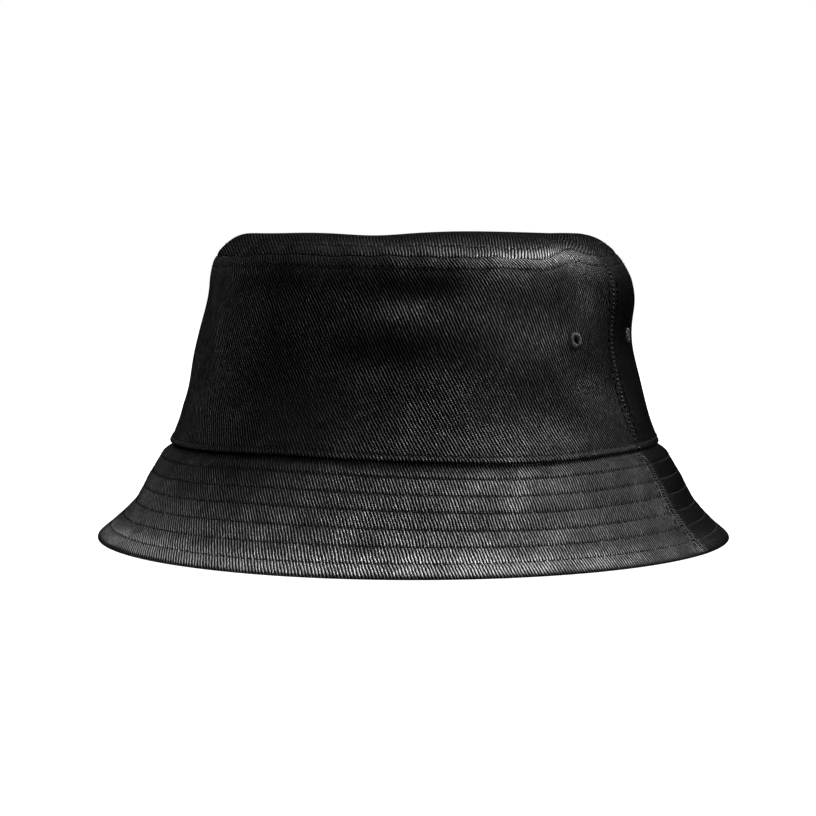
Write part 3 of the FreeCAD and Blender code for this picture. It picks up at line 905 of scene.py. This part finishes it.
def make_label():
    """A blank woven label, stitched along its top and hanging free inside the back."""
    low, high = node_box("care_label")
    across = np.linspace(low[0] + 0.15, high[0] - 0.15, 23)
    up = np.linspace(low[2], high[2], 40)
    grid_x, grid_z = np.meshgrid(across, up, indexing="ij")
    hang = np.clip((high[2] - grid_z) / (high[2] - low[2]), 0, 1)
    curl = 0.5 * hang**2 * np.cos(grid_x / 6) + 0.35 * hang * np.sin(grid_z / 7 + 1)
    selvedge = 0.06 * bell(np.abs(grid_x) - (high[0] - 0.7), 0.45)
    front = low[1] - 0.25 * hang + curl * 0.5 - selvedge
    back = front + 0.3 + 2 * selvedge
    inside = np.stack([grid_x, front, grid_z], -1) * MM
    outside = np.stack([grid_x, back, grid_z], -1) * MM
    uv = np.stack([grid_x, grid_z], -1)
    return shell("care_label", inside, outside, uv)


TACK_ZIGZAGS = 14
TACK_BEYOND = 0.55
TACK_FORWARD = 0.15
TACK_RADIUS = 0.16


def make_label_tack():
    """A close zigzag of thread that holds the label's top."""
    low, high = node_box("label_tack")
    edges = np.linspace(low[0], high[0], TACK_ZIGZAGS + 1)
    reach = (high[2] - low[2]) / 2 + TACK_BEYOND
    middle_y = (low[1] + high[1]) / 2 - TACK_FORWARD
    middle_z = (low[2] + high[2]) / 2
    points = [(x, middle_y, middle_z + reach * (1 if k % 2 else -1)) for k, x in enumerate(edges)]
    return bent_thread("label_tack", np.array(points), TACK_RADIUS)


# the tapes inside: distances along the crown, width, half width in degrees, depths and thickness
RING_TAPE_BELOW = 5.4
RING_TAPE_ABOVE = 6.2
RING_TAPE_DEPTH = 1.5
SIDE_TAPE_FOOT = 8.8
SIDE_TAPE_TOP = 8.5
SIDE_TAPE_TURN = 4.0
SIDE_TAPE_DEPTH = WALL_INSIDE + 0.05
TAPE_THICKNESS = 0.4


def tape_face(depth, height, waves):
    return lambda azimuth, along: (along, height * ripples(azimuth, along, *waves) - depth)


def make_tape(name, azimuths, alongs, depth, height, waves, closed=False):
    outer = tape_face(depth, height, waves)
    inner = tape_face(depth + TAPE_THICKNESS, height, waves)
    return layer(name, azimuths, alongs, outer, inner, ring_uv, closed)


def make_ring_tape():
    alongs = spaced(TIP_SEAM_AT - RING_TAPE_BELOW, TIP_SEAM_AT + RING_TAPE_ABOVE, 1.0)
    azimuths = np.arange(0, 360, 0.8)
    return make_tape("tip_seam_tape", azimuths, alongs, RING_TAPE_DEPTH, 0.12, RING_TAPE_WAVES, True)


def make_side_tape(name, side):
    azimuths = spaced(side - SIDE_TAPE_TURN, side + SIDE_TAPE_TURN, 0.5)
    alongs = spaced(SIDE_TAPE_FOOT, TIP_SEAM_AT - SIDE_TAPE_TOP, 1.2)
    return make_tape(name, azimuths, alongs, SIDE_TAPE_DEPTH, 0.08, SIDE_TAPE_WAVES)


# ---------------- stitches and eyelets

THREAD = 0.2
STITCH_RINGS = 7
STITCH_SIDES = 6
# a stitch starts and ends this deep in the cloth, and covers this part of its length
STITCH_SUNK = 0.22
STITCH_START = 0.07
STITCH_END = 0.93
STITCH_LEAN = 0.10


def unit(vectors):
    return vectors / np.linalg.norm(vectors, axis=-1, keepdims=True)


def tube_faces(first, lengths, sides, end):
    """Faces and uvs of a capped tube of rings of points; end is the length written on the far cap."""
    faces = []
    uvs = []
    for i, (u0, u1) in enumerate(zip(lengths[:-1], lengths[1:])):
        for j in range(sides):
            a = first + i * sides + j
            b = first + i * sides + (j + 1) % sides
            faces.append((a, b, b + sides, a + sides))
            v0, v1 = j / sides, (j + 1) / sides
            uvs += [(u0, v0), (u0, v1), (u1, v1), (u1, v0)]
    last = first + (len(lengths) - 1) * sides
    faces.append([first + j for j in reversed(range(sides))])
    faces.append([last + j for j in range(sides)])
    uvs += [(0, 0)] * sides + [(end, 0)] * sides
    return faces, uvs


def stitches(name, starts, ends, relief, under=0.0):
    """One tube of thread for each stitch, on a relief or, with a depth, on one that faces down."""
    steps = np.linspace(0, 1, STITCH_RINGS)
    azimuth = starts[:, None, 0] + (ends - starts)[:, None, 0] * steps
    along = starts[:, None, 1] + (ends - starts)[:, None, 1] * steps
    arch = np.sin(math.pi * steps) ** 0.6
    rise = relief(azimuth, along) + THREAD * 0.75 * arch - STITCH_SUNK * (1 - arch)

    def at(rise):
        return hat_point(azimuth, along, -under - rise if under else rise) / MM

    points = at(rise)
    normal = unit(at(rise + 1) - points)
    tangent = unit(np.gradient(points, axis=1))
    side = np.cross(tangent, normal)
    radius = THREAD * (0.55 + 0.45 * np.sin(math.pi * steps) ** 0.35)
    turns = np.arange(STITCH_SIDES)[:, None] * 2 * math.pi / STITCH_SIDES
    ring = side[:, :, None] * np.cos(turns) + normal[:, :, None] * np.sin(turns)
    tube = points[:, :, None] + ring * radius[None, :, None, None]
    faces = []
    uvs = []
    for k in range(len(starts)):
        more = tube_faces(k * STITCH_RINGS * STITCH_SIDES, STITCH * steps, STITCH_SIDES, STITCH)
        faces += more[0]
        uvs += more[1]
    return new_object(name, tube.reshape(-1, 3) * MM, faces, uvs)


def bent_thread(name, points, radius):
    """A thread through points in millimetres, with a capped end each way."""
    sides = 8
    tangent = unit(np.gradient(points, axis=0))
    out = unit(np.cross(tangent, np.array([0.0, 1.0, 0.0])))
    other = np.cross(tangent, out)
    turns = np.arange(sides)[:, None] * 2 * math.pi / sides
    ring = out[:, None] * np.cos(turns) + other[:, None] * np.sin(turns)
    vertices = (points[:, None] + radius * ring).reshape(-1, 3) * MM
    travelled = np.concatenate([[0], np.cumsum(np.linalg.norm(np.diff(points, axis=0), axis=1))])
    return new_object(name, vertices, *tube_faces(0, travelled, sides, 0))


def ring_row(name, along, relief, seed, under=0.0):
    count = stitches_round(along)
    step = 360 / count
    azimuth = np.arange(count) * step
    along = along + np.random.default_rng(seed).normal(0, 0.05, count)
    starts = np.stack([azimuth + STITCH_START * step, along - STITCH_LEAN], -1)
    ends = np.stack([azimuth + STITCH_END * step, along + STITCH_LEAN], -1)
    return stitches(name, starts, ends, relief, under)


def seam_rows(name, side, low, high, relief, seed):
    """Two rows beside a side seam, running along the hat's section."""
    random = np.random.default_rng(seed)
    count = int((high - low) / STITCH)
    alongs = low + np.arange(count) * STITCH
    starts = []
    ends = []
    for row in (-SEAM_ROW, SEAM_ROW):
        for along in np.round(alongs / STITCH) * STITCH:
            place = side + math.degrees(row / radius_at(along)) + random.normal(0, 0.03)
            starts.append((place - 0.05, along + STITCH_START * STITCH))
            ends.append((place + 0.05, along + STITCH_END * STITCH))
    return stitches(name, np.array(starts), np.array(ends), relief)


def join(name, objects):
    """One object from several meshes."""
    target = objects[0]
    chosen = {"selected_objects": objects, "selected_editable_objects": objects}
    with bpy.context.temp_override(active_object=target, **chosen):
        bpy.ops.object.join()
    target.name = name
    target.data.name = name
    return target


EYELET_RADIUS = 2.15
EYELET_HALF_WIDTH = 1.2
EYELET_HALF_HEIGHT = 0.95
EYELET_SUNK = -0.3
EYELET_HOLE = 1.6
EYELET_THREADS = 34
EYELET_TURNS_PER_THREAD = 6


def make_eyelet(name, azimuth):
    """A ring of satin stitches that wraps the edge of a small hole, on both faces of the wall."""
    point = hat_point(azimuth, EYELET_AT, 0.0) / MM
    outwards = unit(hat_point(azimuth, EYELET_AT, 1.0) / MM - point)
    right = hat_point(azimuth + 0.1, EYELET_AT, 0.0) / MM - point
    right = unit(right - outwards * right.dot(outwards))
    up = np.cross(outwards, right)
    count_a = EYELET_THREADS * EYELET_TURNS_PER_THREAD
    count_b = 14
    a = np.arange(count_a) * 2 * math.pi / count_a
    b = np.arange(count_b) * 2 * math.pi / count_b
    ga, gb = np.meshgrid(a, b, indexing="ij")
    uneven = np.random.default_rng(41).normal(0, 0.11, EYELET_THREADS)
    uneven = uneven[np.arange(count_a) // EYELET_TURNS_PER_THREAD]
    ply = 0.09 * np.abs(np.cos(EYELET_THREADS * ga / 2)) + uneven[:, None] * 0.8
    r = EYELET_RADIUS + (EYELET_HALF_WIDTH + ply) * np.cos(gb)
    r = r + 0.08 * np.cos(2 * ga + 1) + 0.06 * np.cos(3 * ga)
    h = EYELET_SUNK + (EYELET_HALF_HEIGHT + ply) * np.sin(gb)
    twist = ga + 0.06 * np.sin(gb)
    around_hole = np.cos(twist)[..., None] * right + np.sin(twist)[..., None] * up
    vertices = point + r[..., None] * around_hole + h[..., None] * outwards
    faces = []
    uvs = []
    for i in range(count_a):
        for j in range(count_b):
            here, there = i * count_b, (i + 1) % count_a * count_b
            j1 = (j + 1) % count_b
            faces.append((here + j, there + j, there + j1, here + j1))
            u0, u1 = j * 0.45, (j + 1) * 0.45
            v0, v1 = i / EYELET_TURNS_PER_THREAD, (i + 1) / EYELET_TURNS_PER_THREAD
            uvs += [(u0, v0), (u0, v1), (u1, v1), (u1, v0)]
    return new_object(name, vertices.reshape(-1, 3) * MM, faces, uvs)


def cut_eyelet_holes(wall, azimuths):
    """Opens the wall inside each eyelet."""
    cutters = []
    for azimuth in azimuths:
        point = hat_point(azimuth, EYELET_AT, EYELET_SUNK)
        outwards = hat_point(azimuth, EYELET_AT, 1.0) - point
        size = {"radius": EYELET_HOLE * MM, "depth": 6 * MM}
        bpy.ops.mesh.primitive_cylinder_add(vertices=24, location=point, **size)
        cutter = bpy.context.object
        cutter.rotation_mode = "QUATERNION"
        cutter.rotation_quaternion = Vector(outwards).to_track_quat("Z", "Y")
        cutters.append(cutter)
    for cutter in cutters:
        modifier = wall.modifiers.new("eyelet_hole", "BOOLEAN")
        modifier.object = cutter
        modifier.solver = "EXACT"
        bpy.context.view_layer.objects.active = wall
        with bpy.context.temp_override(object=wall, active_object=wall):
            bpy.ops.object.modifier_apply(modifier=modifier.name)
        bpy.data.objects.remove(cutter)


# ---------------- assembling

# painted highlights and painted shade on the cloth, patches paler or darker where the shoulder,
# creases and seams catch or lose the light:
# azimuth, place along the crown, their half widths (degrees, mm), and the strength, as a power of e
PAINTED_LIGHT_PATCHES = (
    (66, 77, 20, 5, 2.8),
    (-18, 79, 30, 5, -0.6),
    (30, 79, 14, 4, 0.7),
    (10, 71, 26, 6, -1.2),
    (38, 68, 9, 4, -1.7),
    (27, 57, 10, 4.5, 1.5),
    (66, 47, 12, 9, 1.3),
    (24, 43, 16, 6, -1.1),
    (22, 33, 12, 3, 0.6),
    (58, 10, 20, 7, 0.8),
    (0, 18, 12, 16, -0.8),
    (80, 60, 8, 8, 1.0),
    (78, 25, 10, 8, 0.6),
    (106, 35, 14, 90, -1.3),
    (-62, -30, 14, 30, -0.9),
    (-64, -52, 18, 10, -1.5),
    (-28, -8, 22, 10, -0.6),
    (82, -42, 18, 14, -0.9),
    (-40, 80, 9, 4, 1.1),
    (-20, -46, 34, 6, 0.4),
    (53, -8, 18, 12, 0.7),
    (-12, -4, 12, 6, -0.6),
)
# the width round the brim's edge that is painted in shadow, in mm
PAINTED_EDGE_SHADOW = 2.1
# painted shade over the back half beside the side seam at azimuth 90: azimuth, half width in degrees,
# strength as a power of e
BACK_PAINTED_SHADE = (112, 30, -1.8)
# strength of the painted highlight on the ridges beside the side seam at azimuth 90, as a power of e
SEAM_PAINTED_HIGHLIGHT = 0.6


def along_of(radius, height):
    """The distance along the crown or brim of points near the section."""
    along = np.linspace(-BRIM_WIDTH, CROWN_END, 900)
    point, _ = section(along)
    return np.interp(height - radius / 2, point[:, 1] - point[:, 0] / 2, along)


def paint_wear_and_light(obj, end="front"):
    """Writes how much paler or darker each point is painted: most on the brim, which is painted
    light, least round its edge, which is painted shadow; also painted highlights and shade in
    patches, and random fading.
    """
    places = np.empty(len(obj.data.vertices) * 3, np.float32)
    obj.data.vertices.foreach_get("co", places)
    x, y, height = places.reshape(-1, 3).T / MM
    azimuth = np.degrees(np.arctan2(x, -y))
    radius = np.hypot(x, y)
    along = along_of(radius, height)
    # the brim is painted paler than the crown, most in its lowest band: painted light; the crown's
    # rolled foot is a little paler
    brim_painted_light = 2.2 + 2.6 * ramp(8, 38, -along) + 6.0 * ramp(36, 42, -along)
    wear_and_painted_light = np.where(along < 0, brim_painted_light, 1 + 0.4 * bell(along - 1.5, 1.5))
    wear_and_painted_light = wear_and_painted_light * np.exp(0.11 * ripples(azimuth, along, *FADING) * ramp(0, 4, -along))
    # painted shadow round the brim's rolled edge
    fold = BRIM_WIDTH - PAINTED_EDGE_SHADOW
    wear_and_painted_light = wear_and_painted_light * (1 - 0.93 * ramp(fold, fold + 0.8, -along))
    from_seam = np.radians(np.abs(turned_from(azimuth, 90))) * radius
    strength = 0 * along
    # painted shade on the back half beyond the side seam
    if end == "back":
        place, wide, change = BACK_PAINTED_SHADE
        strength = change * bell(turned_from(azimuth, place), wide) * ramp(0, 3, -along)
        strength = strength * ramp(2.5, 5, from_seam)
    # painted highlight on the brim's ridges beside the side seam at azimuth 90
    strength = strength + SEAM_PAINTED_HIGHLIGHT * bell(from_seam - 2.2, 0.9) * ramp(0, 3, -along)
    # painted highlights and painted shade in patches
    for place, middle, wide, tall, change in PAINTED_LIGHT_PATCHES:
        beside = bell(turned_from(azimuth, place), wide)
        strength = strength + change * beside * bell(along - middle, tall)
    attribute = obj.data.attributes.new("wear_and_painted_light", "FLOAT", "POINT")
    attribute.data.foreach_set("value", (wear_and_painted_light * np.exp(strength)).astype(np.float32))


for end, middle in HALVES.items():
    wall = make_wall(end, middle)
    cut_eyelet_holes(wall, [a for name, a in EYELETS.items() if name.startswith(end)])
    paint_wear_and_light(wall, end)
    finish_piece(wall, twill, "twill", f"wall_{end}")
    upper = make_brim_upper(end, middle)
    paint_wear_and_light(upper, end)
    finish_piece(upper, twill, "twill", f"brim_upper_{end}")
    under = make_brim_under(end, middle)
    paint_wear_and_light(under, end)
    finish_piece(under, twill, "twill", f"brim_under_{end}")
    lining = make_interlining(end, middle)
    finish_piece(lining, felt, "interlining", f"brim_interlining_{end}")
tip = make_tip_panel()
paint_wear_and_light(tip)
finish_piece(tip, twill, "twill", "tip_panel")
finish_piece(make_sweatband(), band_cloth, "band_cloth", "sweatband")
finish_piece(make_ring_tape(), tape_cloth, "tape", "tip_seam_tape")
for name, side in (("side_seam_tape_left", 90), ("side_seam_tape_right", -90)):
    finish_piece(make_side_tape(name, side), tape_cloth, "tape", name)

CROWN_STITCHES = {
    "crown_topstitch": CROWN_ROW,
    "tip_topstitch_lower": TIP_ROWS[0],
    "tip_topstitch_upper": TIP_ROWS[1],
}
for name, along in CROWN_STITCHES.items():
    finish_piece(ring_row(name, along, crown_relief, 51), black_thread, "thread", name)
for number, along in enumerate(BRIM_ROWS, start=1):
    name = f"brim_stitch_row_{number}"
    above = ring_row(name, along, brim_relief, 60 + number)
    below = ring_row(f"{name}_bobbin", along, under_relief, 70 + number, BRIM_THICKNESS)
    finish_piece(join(name, [above, below]), black_thread, "thread", name)
for name, side in (("left", 90), ("right", -90)):
    row = seam_rows(f"wall_seam_stitch_{name}", side, 6, TIP_SEAM_AT - 8, crown_relief, 81)
    finish_piece(row, dull_shaded_thread, "thread", f"wall_seam_stitch_{name}")
    row = seam_rows(f"brim_seam_stitch_{name}", side, -BRIM_WIDTH + 3, -2, brim_relief, 82)
    finish_piece(row, black_thread, "thread", f"brim_seam_stitch_{name}")
hem = ring_row(
    "sweatband_hem_stitch",
    BAND_TOP - HEM_BELOW_FOLD,
    lambda azimuth, along: hem_channel(azimuth, along) - band_wave(azimuth, along),
    91,
    BAND_DEEP,
)
finish_piece(hem, black_thread, "thread", "sweatband_hem_stitch")
finish_piece(make_label(), ribbon, "label", "care_label", body="label")
finish_piece(make_label_tack(), pale_thread, "label_thread", "label_tack")
for name, azimuth in EYELETS.items():
    eyelet = make_eyelet(f"eyelet_{name}", azimuth)
    finish_piece(eyelet, silk_thread, "embroidery", f"eyelet_{name}")


# ---------------- camera, light and floor

CAMERA_REACH = 900.0
CAMERA_HEIGHT = 121.5
AIM_HEIGHT = 50.2
AIM_SIDE = -2.8
SENSOR_WIDTH = 36.0
FOCAL = 99.13235


def look_at(obj, target):
    direction = Vector(target) - obj.location
    obj.rotation_euler = direction.to_track_quat("-Z", "Y").to_euler()


def make_camera():
    seen = math.radians(VIEW_AZIMUTH)
    right = np.array([math.cos(seen), math.sin(seen), 0])
    back = np.array([math.sin(seen), -math.cos(seen), 0])
    data = bpy.data.cameras.new("camera")
    data.lens = FOCAL
    data.sensor_width = SENSOR_WIDTH
    data.clip_end = 100
    camera = bpy.data.objects.new("camera", data)
    bpy.context.collection.objects.link(camera)
    camera.location = (back * CAMERA_REACH + right * AIM_SIDE) * MM
    camera.location.z = CAMERA_HEIGHT * MM
    target = right * AIM_SIDE * MM
    target[2] = AIM_HEIGHT * MM
    look_at(camera, target)
    bpy.context.scene.camera = camera


# the lights: azimuth to the right of the camera, elevation, size in metres and power in watts
STUDIO = (
    ("key", 110, 35, 0.7, 11.0),
    ("spot", 95, 45, 0.4, 6.5),
    ("right_top", 80, 60, 0.7, 6.5),
    ("front_fill", 35, 10, 0.7, 7.5),
    ("back_top", -150, 70, 0.7, 5.0),
    ("left", -70, 35, 0.7, 4.0),
    ("left_back", -110, 60, 0.7, 3.0),
    ("left_top", -50, 60, 0.7, 2.0),
    ("left_fill", -35, 35, 0.7, 2.0),
)
LIGHT_REACH = 1.6
LIT_HEIGHT = 0.06
WHITE = (1, 1, 1, 1)


def area_light(name, azimuth, elevation, size, power):
    """A soft light aimed at the wall; azimuth as for the hat, so 0 is in front."""
    data = bpy.data.lights.new(name, "AREA")
    data.shape = "DISK"
    data.size = size
    data.energy = power
    light = bpy.data.objects.new(name, data)
    bpy.context.collection.objects.link(light)
    a, e = math.radians(azimuth), math.radians(elevation)
    level = LIGHT_REACH * math.cos(e)
    height = LIGHT_REACH * math.sin(e) + LIT_HEIGHT
    light.location = (level * math.sin(a), -level * math.cos(a), height)
    look_at(light, (0, 0, LIT_HEIGHT))


def make_floor():
    """A pale floor, evenly lit and not mirrored in the cloth."""
    bpy.ops.mesh.primitive_plane_add(size=60, location=(0, 0, BRIM_REST * MM - 0.0002))
    floor = bpy.context.object
    floor.name = "floor"
    material = bpy.data.materials.new("pale_floor")
    nodes = Nodes(material)
    nodes.set(Base_Color=(0.8, 0.8, 0.8, 1), Roughness=0.9)
    nodes.set(Emission_Color=WHITE, Emission_Strength=1.0)
    floor.data.materials.append(material)
    floor.visible_diffuse = False
    floor.visible_glossy = False


def make_world():
    """White behind the hat, and almost no light from the sides that the lamps leave dark."""
    world = bpy.data.worlds.new("studio")
    bpy.context.scene.world = world
    world.use_nodes = True
    tree = world.node_tree
    tree.nodes.clear()
    kinds = ("LightPath", "Background", "Background", "MixShader", "OutputWorld")
    path, dim, seen, mix, output = (tree.nodes.new("ShaderNode" + kind) for kind in kinds)
    for background, strength in ((dim, 0.004), (seen, 1.0)):
        background.inputs[0].default_value = WHITE
        background.inputs[1].default_value = strength
    tree.links.new(path.outputs["Is Camera Ray"], mix.inputs[0])
    tree.links.new(dim.outputs[0], mix.inputs[1])
    tree.links.new(seen.outputs[0], mix.inputs[2])
    tree.links.new(mix.outputs[0], output.inputs[0])


make_camera()
for name, azimuth, elevation, size, power in STUDIO:
    area_light(name, VIEW_AZIMUTH + azimuth, elevation, size, power)
make_floor()
make_world()
bpy.context.scene.view_settings.view_transform = "Standard"
bpy.context.scene.view_settings.look = "None"

# ---------------- the sheets' flat sizes


def cut_area(low, high, share=1.0):
    """Flat area, in square metres, of a cloth that runs round the hat between two distances."""
    along = np.linspace(low, high, 400)
    point, _ = section(along)
    return share * 2 * math.pi * float(np.trapz(point[:, 0], along)) * MM * MM


FLAT_BRIM_SPREAD = 0.5
strip = math.pi * radius_at(0.0) * MM
reach = radius_at(0.0) / FLAT_BRIM_SPREAD
for end in HALVES:
    area = cut_area(0, TIP_SEAM_AT, 0.5)
    area = cut_area(-BRIM_WIDTH, ALLOWANCE, 0.5)
    area = cut_area(-BRIM_WIDTH + STIFFENING_SHORT, ALLOWANCE, 0.5)
    lining = pieces[f"brim_interlining_{end}"]
circle = 2 * (CROWN_END - TIP_SEAM_AT) * MM
area = min(cut_area(TIP_SEAM_AT, CROWN_END), math.pi / 4 * circle**2)
band_flat = (
    2 * math.pi * (radius_at(BAND_TOP / 2) - BAND_DEPTH) * MM,
    2 * (BAND_TOP - BAND_FOOT) * MM,
)
